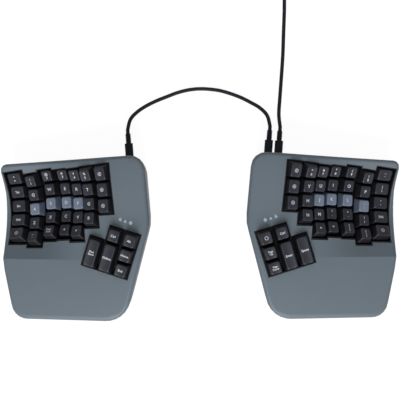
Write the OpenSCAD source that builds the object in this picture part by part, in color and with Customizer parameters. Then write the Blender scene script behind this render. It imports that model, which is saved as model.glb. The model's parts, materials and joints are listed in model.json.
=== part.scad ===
// Split contoured keyboard: two mirrored halves, a bridge cable between them and a host cable.
// Each half is drawn in its own frame, left hand side: +X towards the middle, +Y to the back,
// +Z up, with the origin on the desk under the home key of the middle finger.

/* [Halves] */
// Distance from the centre line to the middle finger's home key
half_spread = 164; // [150:1:190]
// How far the right half stands behind the left one
half_stagger = 4; // [0:1:10]
// Turn of each half towards the user's elbow
half_yaw = 4.3; // [0:0.1:8]

/* [Key layout] */
// Spacing of neighbouring keys in a row
key_pitch = 19.05; // [18.5:0.05:20]
// Gap between neighbouring cap skirts
cap_gap = 0.95; // [0.8:0.05:1.4]
// Radius of a finger column at the switch plate
column_radius = 100; // [94:0.5:115]
// Room between neighbouring rows at the switch plate, beyond a key's own spacing
row_room = 1.9; // [1.6:0.1:3]
// Backward tilt of the home row
home_tilt = -3.5; // [-6:0.5:0]
// Radius of the innermost column at the switch plate
inner_radius = 150; // [130:1:180]
// Room between the innermost column's rows at the switch plate, beyond a key's own spacing
inner_room = 1; // [0.9:0.1:2]
// Backward tilt of the innermost column's lowest key
inner_tilt = -3.5; // [-5:0.5:-2]
// Sideways tilt of the key well
tent_angle = 18; // [15:0.5:20]
// Extra sideways tilt of the innermost column
inner_cant = 0; // [0:0.5:4]
// Height of the deepest switch plate above the desk
well_height = 17; // [16:0.5:22]
// Lift of each finger column, outermost first
column_lift = [17, 14, 6, 0, 3.4, 10, 10]; // [0:0.1:25]
// Reach of each finger column, outermost first
column_reach = [0, -5.4, 0.3, 0, -2.3, -4.3, -5]; // [-10:0.1:10]

/* [Thumb cluster] */
// Spacing of the thumb columns
thumb_pitch = 20.4; // [19.8:0.1:21]
// Place of the cluster's middle beside the home key
thumb_x = 52; // [50:0.5:53]
// Place of the cluster's middle in front of the home key
thumb_y = -68; // [-71:0.5:-67]
// Height of the thumb switch plate at the cluster's middle
thumb_height = 47; // [46:0.5:50]
// Turn of the cluster seen from above
thumb_yaw = -21.5; // [-24:0.5:-19]
// Sideways tilt of the cluster
thumb_roll = 4; // [2:0.5:8]
// Backward tilt of the cluster
thumb_tilt = 5; // [2:0.5:7]

/* [Keycaps] */
// Height of a cap skirt above the switch plate at rest
cap_lift = 6.2; // [6:0.1:6.8]
// Height of a cap
cap_height = 10; // [9:0.1:11]
// Width of a one unit cap at its top
cap_top_w = 13.2; // [12:0.1:14]
// Depth of a one unit cap at its top
cap_top_d = 14; // [13:0.1:15]
// Wall of a cap
cap_wall = 1.3; // [1:0.1:1.5]
// Chamfer on a cap's upright edges
cap_chamfer = 1.1; // [0.6:0.1:1.6]
// Radius of the finger dish
dish_radius = 32; // [24:1:60]
// Depth of the finger dish
dish_depth = 0.7; // [0.4:0.1:1]
// Travel of a key
key_travel = 4; // [3:0.1:4]

/* [Switches] */
// Side of the square switch hole
switch_hole = 14; // [13.9:0.05:14.2]
// Depth of a switch housing below the plate
switch_depth = 5; // [4.6:0.1:5.4]
// Height of a switch housing above the plate
switch_top = 6.2; // [5.8:0.1:6.4]
// Side of the housing's flange
switch_flange = 15.6; // [15.2:0.1:16]
// Thickness of the housing's flange
flange_t = 1; // [0.8:0.1:1.4]
// Width of the stem's slider
slider_w = 7; // [6.4:0.1:7.4]
// Depth of the stem's slider
slider_d = 5.4; // [5:0.1:5.8]

/* [Wells] */
// Thickness of the switch plates
plate_t = 2.5; // [2:0.1:3]
// Clear room round the cap skirts
well_gap = 0.5; // [0.4:0.1:0.8]
// Wall of the well rims
well_wall = 1.2; // [1:0.1:1.6]

/* [Case] */
// Width of the case beyond the outer edge of the key well
outer_strip = 8.5; // [7:0.5:14]
// Depth of the case behind the key well
back_strip = 6; // [5:0.5:12]
// Width of the case beyond the inner edge of the key well
plateau_w = 42; // [40:0.5:54]
// Length of the case in front of the home row
palm_reach = 160; // [152:1:175]
// How far the front edge draws back at its outer end
front_slant = 12; // [6:1:18]
// How far the inner edge draws in at the front
inner_taper = 41; // [36:1:46]
// How far the outer edge draws in at the front
outer_taper = 3; // [0:0.5:12]
// Corner radii: front outer, front inner, inner bend, back inner, back outer, outer pinch, outer bend
corner_r = [20, 32, 45, 18, 9, 80, 120]; // [5:1:160]
// Radius of the rounded top edge
edge_r = 5; // [3:0.5:6]
// Height of the top edge at the outer side
outer_height = 43; // [41:0.5:50]
// Depth of the scoop at the outer side
scoop_depth = 18; // [14:0.5:20]
// Fall of the palm rest from its crease to the front edge
palm_fall = 6; // [2:0.5:10]
// Distance of the crease in front of the home row, at the outer edge
crease_reach = 70.5; // [68:0.5:76]
// Height of the seam between the two shells
seam_height = 12; // [11:0.5:14]
// Thickness of the upper shell's roof
roof_t = 4; // [3:0.1:4.5]
// Thickness of the lower shell's floor
floor_t = 3; // [2.5:0.1:4]
// Height of the rubber feet
foot_h = 3; // [2:0.1:4]
// Diameter of the rubber feet
foot_d = 14; // [10:0.5:18]

/* [Tenting] */
// Travel of the tent leg
leg_travel = 24; // [15:1:24]
// Length of the leg's foot bar
leg_l = 56; // [48:1:58]
// Width of the leg's foot bar
leg_w = 14; // [12:0.5:16]
// Diameter of the release button
button_d = 12; // [10:0.5:14]
// Travel of the release button
button_travel = 3; // [2:0.1:3.5]

/* [Cables] */
// Diameter of both cables
cable_d = 4.8; // [4:0.1:5.5]
// Width of a plug's grip
plug_w = 10.5; // [9.5:0.1:12]
// Thickness of a plug's grip
plug_t = 6.6; // [6:0.1:8]
// Length of a plug's grip
plug_l = 22; // [18:0.5:26]
// Length of the strain relief
relief_l = 13; // [10:0.5:18]
// Height of the ports above the desk
port_z = 18; // [17:0.5:22]

/* [Hidden] */

// Colours
slate = [0.36, 0.41, 0.46];
black_plastic = [0.06, 0.06, 0.07];
cap_black = [0.12, 0.12, 0.13];
cap_blue = [0.40, 0.45, 0.56];
board_green = [0.10, 0.30, 0.18];
steel = [0.70, 0.71, 0.73];
rubber = [0.10, 0.10, 0.10];
lamp_white = [0.85, 0.88, 0.90];

// Small helpers
far = 400;
slim = 0.01;
function unit(v) = v / norm(v);
function mix(a, b, t) = a + (b - a) * t;
function ramp(x, a, b) = let(t = max(0, min(1, (x - a) / (b - a)))) t * t * (3 - 2 * t);
function rot_x(p, a) = [p.x, p.y * cos(a) - p.z * sin(a), p.y * sin(a) + p.z * cos(a)];
function rot_y(p, a) = [p.x * cos(a) + p.z * sin(a), p.y, p.z * cos(a) - p.x * sin(a)];
function rot_z(p, a) = [p.x * cos(a) - p.y * sin(a), p.x * sin(a) + p.y * cos(a), p.z];
function reversed(list) = [for (i = [len(list) - 1:-1:0]) list[i]];

// Key layout worked out from the pitch
wide = 1.25;
deep = 1.1;
row_angle = (key_pitch + row_room) / column_radius * 180 / PI;
inner_row_angle = (deep * key_pitch + inner_room) / inner_radius * 180 / PI;
rows_in = [5, 5, 5, 5, 5, 4, 3];
inner_col = 6;
middle_col = 3;
inner_step = 0.65;
cap_w = [for (c = [0:inner_col]) key_pitch * (c == 0 ? wide : 1) - cap_gap];
cap_d = [for (c = [0:inner_col]) key_pitch * (c == inner_col ? deep : 1) - cap_gap];
column_w = [for (c = [0:inner_col]) key_pitch * (c == 0 ? wide : 1)];
column_x = [for (c = [0:inner_col]) (c - middle_col) * key_pitch
    - (c == 0 ? (wide - 1) / 2 * key_pitch : 0) + (c == inner_col ? inner_step : 0)];
function cant(c) = c == inner_col ? inner_cant : 0;
function radius_of(c) = c == inner_col ? inner_radius : column_radius;
function row_tilt(c, r) = c == inner_col
    ? inner_tilt + (2 - r) * inner_row_angle
    : home_tilt + (2 - r) * row_angle;
function column_place(c) = [column_x[c], column_reach[c], column_lift[c]];
function in_well_point(p) = rot_y(p, -tent_angle) + [0, 0, well_height];
function key_point(c, r, p) = let(a = row_tilt(c, r), up = [0, 0, radius_of(c)])
    in_well_point(column_place(c) + rot_y(rot_x(p - up, a) + up, -cant(c)));

// Thumb cluster: column, row and depth in key units of each key
thumb_keys = [[-1, -0.5, 2], [0, -0.5, 2], [0, 1, 1], [1, 1, 1], [1, 0, 1], [1, -1, 1]];
function thumb_place(i) = [thumb_keys[i][0] * thumb_pitch, thumb_keys[i][1] * key_pitch, 0];
function thumb_depth(i) = thumb_keys[i][2] * key_pitch - cap_gap;
function thumb_point(p) = [thumb_x, thumb_y, thumb_height]
    + rot_z(rot_x(rot_y(p, -thumb_roll), thumb_tilt), thumb_yaw);

// Case outline, fitted round the key well
rim = well_gap + well_wall;
well_outer_x = key_point(0, 2, [-cap_w[0] / 2 - rim, 0, cap_lift]).x;
well_inner_x = key_point(inner_col, 1, [cap_w[inner_col] / 2 + rim, 0, cap_lift]).x;
well_back_y = key_point(middle_col, 0, [0, cap_d[middle_col] / 2 + rim, cap_lift]).y;
outer_x = well_outer_x - outer_strip;
inner_x = well_inner_x + plateau_w;
back_y = well_back_y + back_strip;
back_slant = 3;
back_flare = 1.5;
pinch = 0.8;
bend_bulge = 4.5;
inner_bend_y = -40;
outer_pinch_y = 14;
outer_bend_y = -76;
outline_corners = [
    [outer_x + outer_taper, -palm_reach + front_slant],
    [inner_x - inner_taper, -palm_reach],
    [inner_x, inner_bend_y],
    [inner_x - 1, back_y - back_slant],
    [outer_x - back_flare, back_y],
    [outer_x + pinch, outer_pinch_y],
    [outer_x - bend_bulge, outer_bend_y]];
arc_steps = 9;
function outward(p, q) = let(e = unit(q - p)) [e.y, -e.x];
function arc_corner(p, c, n, r) = let(a = unit(p - c), b = unit(n - c), half = acos(a * b) / 2,
        o = c + unit(a + b) * r / sin(half), n0 = outward(p, c), n1 = outward(c, n),
        start = atan2(n0.y, n0.x), turn = (atan2(n1.y, n1.x) - start + 540) % 360 - 180, s = sign(turn))
    [for (k = [0:arc_steps]) let(a = start + turn * k / arc_steps) o + s * r * [cos(a), sin(a)]];
corner_count = len(outline_corners);
outline = [for (i = [0:corner_count - 1]) each arc_corner(
    outline_corners[(i + corner_count - 1) % corner_count], outline_corners[i],
    outline_corners[(i + 1) % corner_count], corner_r[i])];
case_mid = [(outer_x + inner_x) / 2, (back_y - palm_reach) / 2];

// Top surface of the case: a tilted upper plane, a scoop round the key well and a falling palm rest
function line_y(x, p, q) = p.y + (q.y - p.y) * (x - p.x) / (q.x - p.x);
crease_slope = 0.08;
scoop_mid = -8;
function front_y(x) = line_y(x, outline_corners[0], outline_corners[1]);
function back_line_y(x) = line_y(x, outline_corners[4], outline_corners[3]);
function crease_y(x) = -crease_reach - crease_slope * (x - outer_x);
rim_inner_z = key_point(inner_col, 1, [cap_w[inner_col] / 2, 0, cap_lift]).z + 1;
edge_slope = (rim_inner_z - outer_height) / (well_inner_x - outer_x);
inner_back_rise = 5;
scoop_fade = 20;
scoop_full = -45;
scoop_back = 62;
function upper_z(x, y) = outer_height + edge_slope * (x - outer_x)
    + inner_back_rise * ramp(y, -40, 40) * ramp(x, 0, 70)
    - 4 * ramp(x, well_inner_x + 10, inner_x + 10);
function scoop_part(x, y) = y > scoop_mid
    ? (y - scoop_mid) / scoop_back
    : (scoop_mid - y) / (scoop_mid - crease_y(x));
function scoop_z(x, y) = scoop_depth * (1 - ramp(x, scoop_full, scoop_fade))
    * cos(90 * min(1, scoop_part(x, y)));
function palm_part(x, y) = max(0, (crease_y(x) - y) / (crease_y(x) - front_y(x)));
function palm_z(x, y) = let(t = palm_part(x, y)) palm_fall * t * (0.6 + 0.4 * t);
function top_z(x, y) = upper_z(x, y) - scoop_z(x, y) - palm_z(x, y);
function segment_gap(p, a, b) = let(e = b - a, t = max(0, min(1, (p - a) * e / (e * e)))) norm(p - a - e * t);
function edge_gap(p) = min([for (i = [0:len(outline) - 1])
    segment_gap(p, outline[i], outline[(i + 1) % len(outline)])]);
function edge_drop(d) = d >= edge_r ? 0 : edge_r - sqrt(edge_r * edge_r - (edge_r - d) * (edge_r - d));
function row_line_y(q, x) = q < 1
    ? mix(front_y(x), crease_y(x), q)
    : mix(crease_y(x), back_line_y(x), q - 1);
function row_span(q) = let(over = [for (p = outline) p.y - row_line_y(q, p.x)],
        cuts = [for (i = [0:len(outline) - 1]) let(j = (i + 1) % len(outline))
            if (over[i] * over[j] < 0) mix(outline[i].x, outline[j].x, over[i] / (over[i] - over[j]))])
    [min(cuts), max(cuts)];
case_rows = [0.0001, 0.01, 0.04, 0.09, 0.16, 0.25, 0.4, 0.6, 0.8, 1,
    1.07, 1.15, 1.24, 1.33, 1.42, 1.51, 1.6, 1.69, 1.78, 1.86, 1.92, 1.96, 1.99, 1.9999];
edge_steps = [0, 0.6, 1.8, 3.4, 6];
inner_steps = 12;
function row_points(q) = let(s = row_span(q), edge = edge_steps[len(edge_steps) - 1],
        xs = concat([for (e = edge_steps) s[0] + e],
            [for (k = [1:inner_steps - 1]) mix(s[0] + edge, s[1] - edge, k / inner_steps)],
            [for (e = reversed(edge_steps)) s[1] - e]))
    [for (x = xs) [x, row_line_y(q, x)]];
case_grid = [for (q = case_rows) row_points(q)];
coarse_rows = [0.0001, 0.03, 0.12, 0.4, 0.7, 1, 1.15, 1.33, 1.51, 1.69, 1.86, 1.97, 1.9999];
coarse_cols = [0, 0.03, 0.12, 0.24, 0.36, 0.48, 0.6, 0.72, 0.84, 0.97, 1];
coarse_grid = [for (q = coarse_rows) let(s = row_span(q))
    [for (t = coarse_cols) let(x = mix(s[0], s[1], t)) [x, row_line_y(q, x)]]];
function rim_loop(grid) = let(m = len(grid) - 1, n = len(grid[0]) - 1)
    concat(grid[0], [for (j = [1:m]) grid[j][n]], [for (i = [n - 1:-1:0]) grid[m][i]],
        [for (j = [m - 1:-1:1]) grid[j][0]]);
function drawn_in(p, k) = case_mid + (p - case_mid) * k;

// A closed solid with a rounded roof over a grid of plan points, standing on its drawn-in rim
module roofed(grid, k, drop, base_z, base_k) {
    m = len(grid);
    n = len(grid[0]);
    roof = [for (row = grid) for (p = row) let(d = drawn_in(p, k))
        [d.x, d.y, top_z(p.x, p.y) - edge_drop(edge_gap(p)) - drop]];
    loop = rim_loop(grid);
    loop_index = concat([for (i = [0:n - 1]) i], [for (j = [1:m - 1]) j * n + n - 1],
        [for (i = [n - 2:-1:0]) (m - 1) * n + i], [for (j = [m - 2:-1:1]) j * n]);
    count = len(loop);
    base = [for (p = loop) let(d = drawn_in(p, base_k)) [d.x, d.y, base_z]];
    first = m * n;
    polyhedron(concat(roof, base, [[case_mid.x, case_mid.y, base_z]]), concat(
        [for (j = [0:m - 2]) for (i = [0:n - 2]) each [
            [j * n + i, (j + 1) * n + i, (j + 1) * n + i + 1],
            [j * n + i, (j + 1) * n + i + 1, j * n + i + 1]]],
        [for (i = [0:count - 1]) let(a = i, b = (i + 1) % count) each [
            [loop_index[a], loop_index[b], first + b], [loop_index[a], first + b, first + a],
            [first + a, first + b, first + count]]]));
}

// A closed solid through a list of rings with the same number of points
function middle(ring) = [for (p = ring) 1] * ring / len(ring);
module skin(rings) {
    n = len(rings[0]);
    last = len(rings) - 1;
    low_mid = (last + 1) * n;
    polyhedron(concat([for (r = rings) each r], [middle(rings[0]), middle(rings[last])]), concat(
        [for (j = [0:last - 1]) for (i = [0:n - 1]) let(k = (i + 1) % n) each [
            [j * n + i, (j + 1) * n + i, (j + 1) * n + k], [j * n + i, (j + 1) * n + k, j * n + k]]],
        [for (i = [0:n - 1]) let(k = (i + 1) % n) each [
            [low_mid, i, k], [low_mid + 1, last * n + k, last * n + i]]]));
}

// Fits and fixed sizes
seat = 0.05;
rim_clear = 0.1;
rim_sink = 0.4;
seam_clear = 0.1;
slide_gap = 0.3;
leg_clear = 0.35;
cap_1u = key_pitch - cap_gap;
seam_k = 0.975;
floor_k = 0.95;
foot_k = 0.93;
hollow_k = 0.966;
floor_z = foot_h + floor_t;
foot_sink = 0.8;
foot_spots = [[-66, -96], [50, -112], [-62, 27], [72, 27]];

// Screws through the tray into the upper shell's bosses
screw_d = 3;
head_d = 5.6;
head_h = 2.4;
head_z = floor_z;
boss_d = 8;
boss_z = floor_z + 2.5;
pilot_l = 14;
screw_spots = [[-62, -115], [-10, -130], [40, -130], [84, 13]];

// Switch insides
slider_top = 6.8;
slider_h = 5.6;
cross_h = 3.6;
cross_l = 4;
cross_t = 1.3;
cap_boss_d = 5.4;
housing_top_w = 12.2;
slot_deep = switch_top - slider_top + slider_h + key_travel + 0.5;
circuit_w = 14.6;
circuit_t = 0.8;

// Ports, boards and lamps
port_x = [78.5, 65.5];
slot_w = 9.2;
slot_t = 3.4;
shell_l = 8;
socket_w = 9.8;
socket_t = 4;
socket_l = 7.4;
wall_t = 4.6;
recess_w = plug_w + 0.4;
recess_t = plug_t + 0.4;
port_k = mix(seam_k, 1, (port_z - seam_height) / (top_z(port_x[0], back_y) - edge_r - seam_height));
port_y = case_mid.y + (back_line_y(port_x[0]) - case_mid.y) * port_k - 1.2;
board_t = 1.6;
board_z = port_z - socket_t / 2 - board_t - slim;
board_x = [57, 84];
board_y = [18, port_y - wall_t - 0.6];
board_pegs = [[60, 21.5], [81, 22], [72, 33]];
peg_d = 2.6;
lamp_spots = [[66, -31.8], [72.2, -34.4], [78.7, -37]];
lamp_d = 2.4;

// Tent leg and release button
leg_x = 73;
leg_y = -22;
pad_t = 2;
bar_t = 6;
pocket_z = pad_t + bar_t + 0.6;
post_w = 5;
post_d = 12;
post_ys = [leg_y - leg_l / 2 + 10, leg_y + leg_l / 2 - 10];
sleeve_z = 40;
sleeve_grow = leg_clear + 2;
button_x = 46;
button_y = -20;
button_z = foot_h - 0.6;
button_flange_t = 1.5;
stem_d = 5;
bridge_w = 26;
bridge_z = 17;
spring_r = 4.2;

// Plugs
relief_d = 6.6;
a_plug_w = 15;
a_plug_t = 8;
a_plug_l = 28;
tie_turn = 200;

// Placement of the halves: the box round both stands centred on the origin
case_rim = rim_loop(case_grid);
turned_y = [for (p = case_rim) rot_z([p.x, p.y, 0], half_yaw).y];
half_y = -(max(turned_y) + min(turned_y)) / 2;
function left_point(p) = rot_z(p, half_yaw) + [-half_spread, half_y - half_stagger / 2, 0];
function right_point(p) = let(q = rot_z(p, half_yaw))
    [half_spread - q.x, q.y + half_y + half_stagger / 2, q.z];
module left_half() {
    translate([-half_spread, half_y - half_stagger / 2, 0]) rotate(half_yaw) children();
}
module right_half() {
    translate([half_spread, half_y + half_stagger / 2, 0]) mirror([1, 0, 0]) rotate(half_yaw) children();
}
module both_halves() {
    left_half() children();
    right_half() children();
}
module in_well() {
    translate([0, 0, well_height]) rotate([0, -tent_angle, 0]) children();
}
module in_column(c) {
    in_well() translate(column_place(c)) rotate([0, -cant(c), 0]) children();
}
module at_key(c, r) {
    in_column(c) translate([0, 0, radius_of(c)]) rotate([row_tilt(c, r), 0, 0])
        translate([0, 0, -radius_of(c)]) children();
}
module in_thumb() {
    translate([thumb_x, thumb_y, thumb_height]) rotate([0, 0, thumb_yaw]) rotate([thumb_tilt, 0, 0])
        rotate([0, -thumb_roll, 0]) children();
}
module at_thumb(i) { in_thumb() translate(thumb_place(i)) children(); }
module at_every_switch() {
    for (c = [0:inner_col]) for (r = [0:rows_in[c] - 1]) at_key(c, r) children();
    for (i = [0:len(thumb_keys) - 1]) at_thumb(i) children();
}

// Section of a finger column: flats under each key, an upright wall at each end
wall_up = 34;
front_lean = 0.5;
function flat_end(c, r, side, depth, grow) = let(a = row_tilt(c, r), l = side * (cap_d[c] / 2 + grow),
        rad = radius_of(c) + depth)
    [rad * sin(a) + l * cos(a), radius_of(c) - rad * cos(a) + l * sin(a)];
function flat_corner(c, r, depth) = let(a = (row_tilt(c, r) + row_tilt(c, r + 1)) / 2,
        rad = (radius_of(c) + depth) / cos((row_tilt(c, r) - row_tilt(c, r + 1)) / 2))
    [rad * sin(a), radius_of(c) - rad * cos(a)];
function up_along(a) = [-sin(a), cos(a)] * wall_up;
function column_flats(c, depth, grow) = let(last = rows_in[c] - 1) concat([flat_end(c, 0, 1, depth, grow)],
    [for (r = [0:last - 1]) flat_corner(c, r, depth)], [flat_end(c, last, -1, depth, grow)]);
function column_section(c, depth, grow) = let(flats = column_flats(c, depth, grow), last = rows_in[c] - 1,
        lean = c == inner_col ? 1 : front_lean)
    concat([flats[0] + up_along(row_tilt(c, 0))], flats,
        [flats[len(flats) - 1] + up_along(row_tilt(c, last) * lean)]);
module along_column(c, grow_in, grow_out) {
    in_column(c) translate([-column_w[c] / 2 - grow_out, 0, 0]) rotate([90, 0, 90])
        linear_extrude(column_w[c] + grow_in + grow_out) children();
}
inner_overlap = 0.6;
module well_block(depth, grow) {
    side = grow - cap_gap / 2;
    for (c = [0:inner_col])
        along_column(c, side, side + (c == inner_col ? inner_overlap : 0))
            polygon(column_section(c, depth, grow));
}
module thumb_block(depth, grow, up) {
    side = cap_1u / 2 + grow;
    in_thumb() for (b = [[-thumb_pitch, 0.5], [0, 1.5]])
        translate([b[0] - side, -1.5 * key_pitch + cap_gap / 2 - grow, -depth])
            cube([thumb_pitch - b[0] + 2 * side, (b[1] + 1.5) * key_pitch - cap_gap + 2 * grow, depth + up]);
}

// Switch plates with their rims, trimmed to just under the case's surface
module wells_trim() {
    roofed(case_grid, 1, rim_sink, 0, 1);
}
module switch_hole_cut() {
    upright_box(0, 0, -plate_t - 1, switch_hole, switch_hole, plate_t + 2);
}
module key_well() {
    intersection() {
        difference() {
            well_block(plate_t, rim);
            well_block(0, well_gap);
            thumb_block(plate_t + rim_clear, rim + rim_clear, far / 4);
            for (c = [0:inner_col]) for (r = [0:rows_in[c] - 1]) at_key(c, r) switch_hole_cut();
        }
        wells_trim();
    }
}
module thumb_well() {
    intersection() {
        difference() {
            thumb_block(plate_t, rim, wall_up);
            thumb_block(0, well_gap, far / 4);
            for (i = [0:len(thumb_keys) - 1]) at_thumb(i) switch_hole_cut();
        }
        wells_trim();
    }
}

// Upper shell: roof with the two well openings, screw bosses, ports and light holes
module boss_at(p) {
    translate([p.x, p.y, boss_z]) cylinder(h = top_z(p.x, p.y) - roof_t / 2 - boss_z, d = boss_d, $fn = 32);
}
module pilot_at(p) {
    translate([p.x, p.y, boss_z - 1]) cylinder(h = pilot_l + 1, d = screw_d - 0.1, $fn = 24);
}
module lamp_hole(p) {
    translate([p.x, p.y, top_z(p.x, p.y) - 10]) cylinder(h = 20, d = lamp_d + 0.1, $fn = 24);
}
module port_cut(x) {
    translate([x - recess_w / 2, port_y, port_z - recess_t / 2]) cube([recess_w, 20, recess_t]);
    translate([x - slot_w / 2, port_y - 6, port_z - slot_t / 2]) cube([slot_w, 12, slot_t]);
}
module top_case(ports) {
    difference() {
        union() {
            difference() {
                roofed(case_grid, 1, 0, seam_height - 1, seam_k - 0.001);
                roofed(coarse_grid, hollow_k, roof_t, seam_height - 4, hollow_k * seam_k);
                translate([-far / 2, -far / 2, seam_height - far]) cube(far);
            }
            for (p = screw_spots) boss_at(p);
        }
        well_block(plate_t + rim_clear, rim + rim_clear);
        thumb_block(plate_t + rim_clear, rim + rim_clear, far / 4);
        well_block(switch_depth + circuit_t + 1, 0);
        thumb_block(switch_depth + board_t + 1, 0, 0);
        for (p = screw_spots) pilot_at(p);
        for (p = lamp_spots) lamp_hole(p);
        for (x = ports) port_cut(x);
    }
}

// Lower shell: tray with screw pads, board pegs, leg pocket and button bridge
module upright_box(x, y, z, w, d, h) {
    translate([x - w / 2, y - d / 2, z]) cube([w, d, h]);
}
module tray_solid() {
    skin([for (s = [[foot_h, foot_k], [foot_h + 2, floor_k], [seam_height - seam_clear, seam_k]])
        [for (p = case_rim) let(d = drawn_in(p, s[1])) [d.x, d.y, s[0]]]]);
}
module tray_hollow() {
    skin([for (s = [[floor_z, floor_k * hollow_k], [seam_height + 1, seam_k * hollow_k]])
        [for (p = rim_loop(coarse_grid)) let(d = drawn_in(p, s[1])) [d.x, d.y, s[0]]]]);
}
module bottom_case() {
    difference() {
        union() {
            difference() {
                tray_solid();
                tray_hollow();
            }
            for (p = screw_spots) translate([p.x, p.y, floor_z - 1])
                cylinder(h = boss_z - seat - floor_z + 1, d = boss_d + 2, $fn = 32);
            for (p = board_pegs) translate([p.x, p.y, floor_z - 1]) {
                cylinder(h = board_z - seat - floor_z + 1, d = 6, $fn = 24);
                cylinder(h = board_z + board_t - floor_z + 2, d = peg_d, $fn = 24);
            }
            upright_box(leg_x, leg_y, foot_h, leg_w + 2 * sleeve_grow, leg_l + 2 * sleeve_grow,
                pocket_z + 2 - foot_h);
            for (y = post_ys)
                upright_box(leg_x, y, pocket_z, post_w + 2 * sleeve_grow, post_d + 2 * sleeve_grow,
                    sleeve_z - pocket_z);
            for (s = [-1, 1])
                upright_box(button_x + s * bridge_w / 2, button_y, floor_z - 1, 4, 10,
                    bridge_z - floor_z + 2);
            upright_box(button_x, button_y, bridge_z, bridge_w + 4, 10, 2.5);
        }
        for (p = screw_spots) translate([p.x, p.y, 0]) {
            cylinder(h = boss_z + 1, d = screw_d + 0.6, $fn = 24);
            cylinder(h = head_z, d = head_d + 0.6, $fn = 32);
        }
        for (p = foot_spots) translate([p.x, p.y, 0])
            cylinder(h = foot_h + foot_sink, d = foot_d + 0.2, $fn = 48);
        upright_box(leg_x, leg_y, 0, leg_w + 2 * leg_clear, leg_l + 2 * leg_clear, pocket_z);
        for (y = post_ys)
            upright_box(leg_x, y, 0, post_w + 2 * leg_clear, post_d + 2 * leg_clear, far);
        translate([button_x, button_y, 0]) {
            cylinder(h = floor_z + 1, d = button_d + 2 * leg_clear, $fn = 48);
            cylinder(h = far, d = stem_d + 2 * leg_clear, $fn = 32);
        }
    }
}

// Keycap with its switch stem; the origin is on the switch plate
cut_size = 50;
module cap_cut(x, y, lean, turn) {
    translate([x, y, 0]) rotate([0, 0, turn]) rotate([0, -lean, 0])
        translate([0, -cut_size, -1]) cube([cut_size / 2, 2 * cut_size, cut_size / 2]);
}
module cap_body(w, d, h, lean_x, lean_y, chamfer) {
    difference() {
        translate([-w / 2, -d / 2, 0]) cube([w, d, h]);
        for (s = [-1, 1]) {
            cap_cut(s * w / 2, 0, lean_x, s > 0 ? 0 : 180);
            cap_cut(0, s * d / 2, lean_y, 90 * s);
            for (t = [-1, 1])
                cap_cut(s * (w / 2 - chamfer), t * (d / 2 - chamfer), (lean_x + lean_y) / 2, atan2(t, s));
        }
    }
}
module cross_bars(z, h, l, t) {
    upright_box(0, 0, z, l, t, h);
    upright_box(0, 0, z, t, l, h);
}
module key_cap(w, d) {
    lean_x = atan((cap_1u - cap_top_w) / 2 / cap_height);
    lean_y = atan((cap_1u - cap_top_d) / 2 / cap_height);
    ceiling = cap_height - dish_depth - cap_wall;
    inside_w = w - 2 * cap_wall;
    inside_d = d - 2 * cap_wall;
    boss_low = slider_top + seat - cap_lift;
    boss_high = cap_height - dish_depth - 0.5;
    translate([0, 0, cap_lift]) difference() {
        union() {
            difference() {
                cap_body(w, d, cap_height, lean_x, lean_y, cap_chamfer);
                translate([0, 0, -slim])
                    cap_body(inside_w, inside_d, ceiling + slim, lean_x, lean_y, cap_chamfer / 2);
            }
            translate([0, 0, boss_low]) cylinder(h = boss_high - boss_low, d = cap_boss_d, $fn = 32);
        }
        translate([0, 0, cap_height - dish_depth + dish_radius]) rotate([90, 0, 0])
            cylinder(h = d + 2, r = dish_radius, center = true, $fn = 96);
        cross_bars(slider_top - cap_lift, cross_h + 2 * seat, cross_l + 2 * seat, cross_t + 2 * seat);
    }
    upright_box(0, 0, slider_top - slider_h, slider_w, slider_d, slider_h);
    cross_bars(slider_top - slim, cross_h, cross_l, cross_t);
}
module row_keys(columns, r) {
    for (c = columns) at_key(c, r) key_cap(cap_w[c], cap_d[c]);
}
module inner_key(r) {
    at_key(inner_col, r) key_cap(cap_w[inner_col], cap_d[inner_col]);
}
module thumb_key(i) {
    at_thumb(i - 1) key_cap(cap_1u, thumb_depth(i - 1));
}

// Switch housing hanging in its plate by the flange
module switch_housing() {
    difference() {
        union() {
            upright_box(0, 0, -switch_depth, switch_hole - 2 * seat, switch_hole - 2 * seat,
                switch_depth + seat + slim);
            upright_box(0, 0, seat, switch_flange, switch_flange, flange_t);
            upright_box(0, 0, seat, housing_top_w, housing_top_w, switch_top - seat);
        }
        upright_box(0, 0, switch_top - slot_deep, slider_w + 2 * slide_gap, slider_d + 2 * slide_gap,
            slot_deep + 1);
    }
}

// Flexible circuit under a finger column and flat board under the thumb switches
module column_circuit(c) {
    top = switch_depth + 2 * seat;
    in_column(c) translate([-circuit_w / 2, 0, 0]) rotate([90, 0, 90]) linear_extrude(circuit_w)
        polygon(concat(column_flats(c, top, -1), reversed(column_flats(c, top + circuit_t, -1))));
}
module thumb_board() {
    top = switch_depth + 2 * seat;
    difference() {
        thumb_block(top + board_t, -1, 0);
        thumb_block(top, 1, far / 4);
    }
}
module main_board() {
    difference() {
        translate([board_x[0], board_y[0], board_z])
            cube([board_x[1] - board_x[0], board_y[1] - board_y[0], board_t]);
        for (p = board_pegs) translate([p.x, p.y, board_z - 1])
            cylinder(h = board_t + 2, d = peg_d + 0.2, $fn = 24);
    }
    upright_box((board_x[0] + board_x[1]) / 2, board_y[0] + 6, board_z + board_t + slim, 9, 9, 1.2);
}
module rounded_bar(w, t, l) {
    rotate([-90, 0, 0]) union() {
        for (s = [-1, 1]) translate([s * (w - t) / 2, 0, 0]) cylinder(h = l, d = t, $fn = 32);
        translate([-(w - t) / 2, -t / 2, 0]) cube([w - t, t, l]);
    }
}
module socket(x) {
    translate([x, port_y - wall_t - socket_l, port_z]) difference() {
        rounded_bar(socket_w, socket_t, socket_l);
        translate([0, 1, 0]) rounded_bar(slot_w - 0.2, slot_t - 0.2, socket_l);
    }
}
module light_pipe(p) {
    translate([p.x, p.y, top_z(p.x, p.y) - roof_t - 2]) cylinder(h = roof_t + 2, d = lamp_d, $fn = 24);
}
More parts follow.
